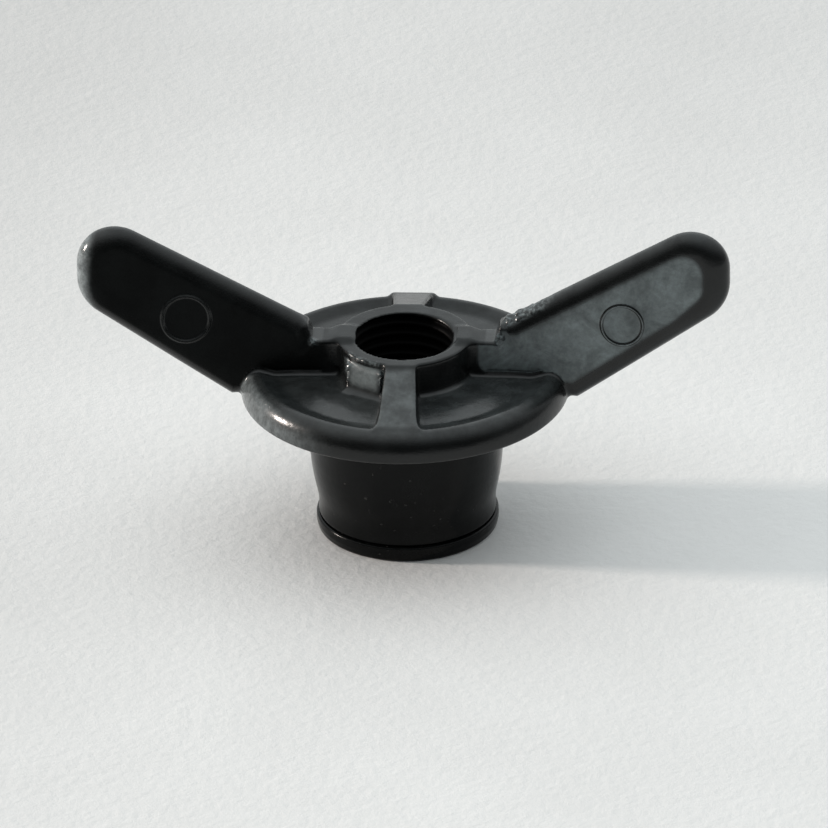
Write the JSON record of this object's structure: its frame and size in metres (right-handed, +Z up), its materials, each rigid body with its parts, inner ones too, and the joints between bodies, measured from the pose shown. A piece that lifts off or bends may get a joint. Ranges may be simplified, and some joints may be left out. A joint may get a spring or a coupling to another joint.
{
  "type": "wing nut",
  "caption": "Moulded wing nut with two raised wings, a ribbed round flange, a threaded through bore and a waisted collar that turns freely under the flange.",
  "frame": {"origin": "on the thread's axis, at the underside of the retaining ring, which the nut stands on", "axes": "+Z up along the thread's axis, from the retaining ring to the hub; +X along the right wing; +Y to the back rib"},
  "size_m": [0.0714, 0.036, 0.0357],
  "materials": {
    "moulded_nylon": "black glass-filled nylon, satin, scuffed and slightly dusty",
    "collar_nylon": "black nylon, semi-gloss",
    "blackened_steel": "black oxide"
  },
  "bodies": {
    "nut": {"wing_body": "moulded_nylon", "thread_insert": "blackened_steel", "retaining_ring": "collar_nylon"},
    "collar": {"swivel_collar": "collar_nylon"}
  },
  "joints": [
    {"name": "collar_swivel", "type": "hinge", "parent": "nut", "child": "collar", "pos_m": [0, 0, 0.009], "axis": [0, 0, 1], "continuous": true}
  ]
}
